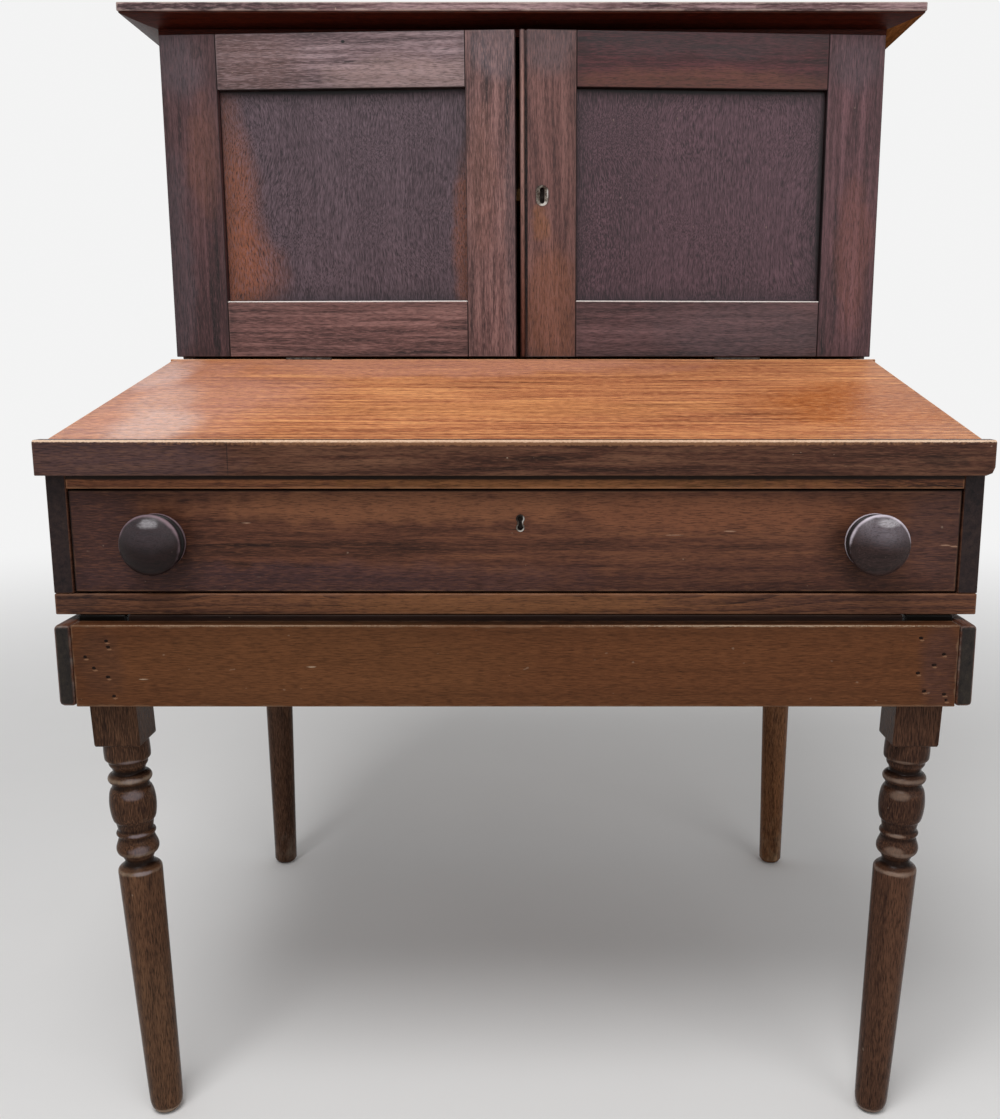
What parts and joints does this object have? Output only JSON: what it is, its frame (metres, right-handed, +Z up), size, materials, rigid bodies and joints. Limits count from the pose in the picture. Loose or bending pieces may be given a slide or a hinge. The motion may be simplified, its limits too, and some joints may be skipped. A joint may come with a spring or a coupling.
{
  "type": "plantation desk",
  "caption": "Wooden desk on turned legs with a slanted lift lid, a long locking drawer and a cabinet with framed doors under a cornice.",
  "frame": {"origin": "middle of the desk's box, on the floor", "axes": "+Z up, -Y towards the person at the desk, +X to that person's right"},
  "size_m": [1.03, 0.7146, 1.282],
  "materials": {
    "walnut": "worn satin varnish",
    "lid_wood": "satin varnish",
    "panel_wood": "worn satin varnish",
    "dark_turned": "dark gloss varnish",
    "pine": "bare, aged",
    "iron": "dark, aged",
    "steel": "worn"
  },
  "bodies": {
    "desk": {"apron_front": "walnut", "apron_left": "walnut", "apron_right": "walnut", "apron_back": "walnut", "case_side_left": "walnut", "case_side_right": "walnut", "case_bottom": "walnut", "case_top_rail": "walnut", "case_top": "walnut", "cabinet_side_left": "walnut", "cabinet_side_right": "walnut", "cornice_board": "walnut", "leg_front_left": "dark_turned", "leg_front_right": "dark_turned", "leg_back_left": "dark_turned", "leg_back_right": "dark_turned", "crown_front": "dark_turned", "crown_left": "dark_turned", "crown_right": "dark_turned", "case_back": "pine", "well_floor": "pine", "cabinet_back": "pine", "cabinet_shelf": "pine", "lid_hinge_case_left": "iron", "lid_hinge_case_right": "iron", "left_hinge_case_lower": "iron", "left_hinge_case_upper": "iron", "right_hinge_case_lower": "iron", "right_hinge_case_upper": "iron"},
    "lid": {"writing_lid": "lid_wood", "lid_front_lip": "walnut", "lid_hinge_lid_left": "iron", "lid_hinge_lid_right": "iron"},
    "drawer": {"drawer_front": "walnut", "drawer_side_left": "pine", "drawer_side_right": "pine", "drawer_back": "pine", "drawer_bottom": "pine", "knob_left": "dark_turned", "knob_right": "dark_turned", "drawer_escutcheon": "steel", "drawer_lock": "iron"},
    "drawer_bolt": {"drawer_lock_bolt": "steel"},
    "left_door": {"left_hinge_stile": "walnut", "left_meeting_stile": "walnut", "left_bottom_rail": "walnut", "left_top_rail": "walnut", "left_panel": "panel_wood", "left_hinge_door_lower": "iron", "left_hinge_door_upper": "iron"},
    "right_door": {"right_hinge_stile": "walnut", "right_meeting_stile": "walnut", "right_bottom_rail": "walnut", "right_top_rail": "walnut", "right_panel": "panel_wood", "right_hinge_door_lower": "iron", "right_hinge_door_upper": "iron", "door_escutcheon": "steel", "door_lock": "iron"},
    "door_bolt": {"door_lock_bolt": "steel"}
  },
  "joints": [
    {"name": "lid_hinge", "type": "hinge", "parent": "desk", "child": "lid", "pos_m": [0, 0.06335, 0.83573], "axis": [-1, 0, 0], "range_deg": [0, 101]},
    {"name": "left_door_hinge", "type": "hinge", "parent": "desk", "child": "left_door", "pos_m": [-0.4706, 0.11495, 0.83903], "axis": [0, 0, -1], "range_deg": [-3, 105]},
    {"name": "right_door_hinge", "type": "hinge", "parent": "desk", "child": "right_door", "pos_m": [0.4706, 0.11495, 0.83903], "axis": [0, 0, 1], "range_deg": [-3, 105]},
    {"name": "drawer_slide", "type": "slide", "parent": "desk", "child": "drawer", "axis": [0, -1, 0], "range_m": [0, 0.3]},
    {"name": "drawer_bolt_slide", "type": "slide", "parent": "drawer", "child": "drawer_bolt", "axis": [0, 0, 1], "range_m": [0, 0.008]},
    {"name": "door_bolt_slide", "type": "slide", "parent": "right_door", "child": "door_bolt", "axis": [-0.9986, -0.0523, 0], "range_m": [0, 0.011]}
  ]
}
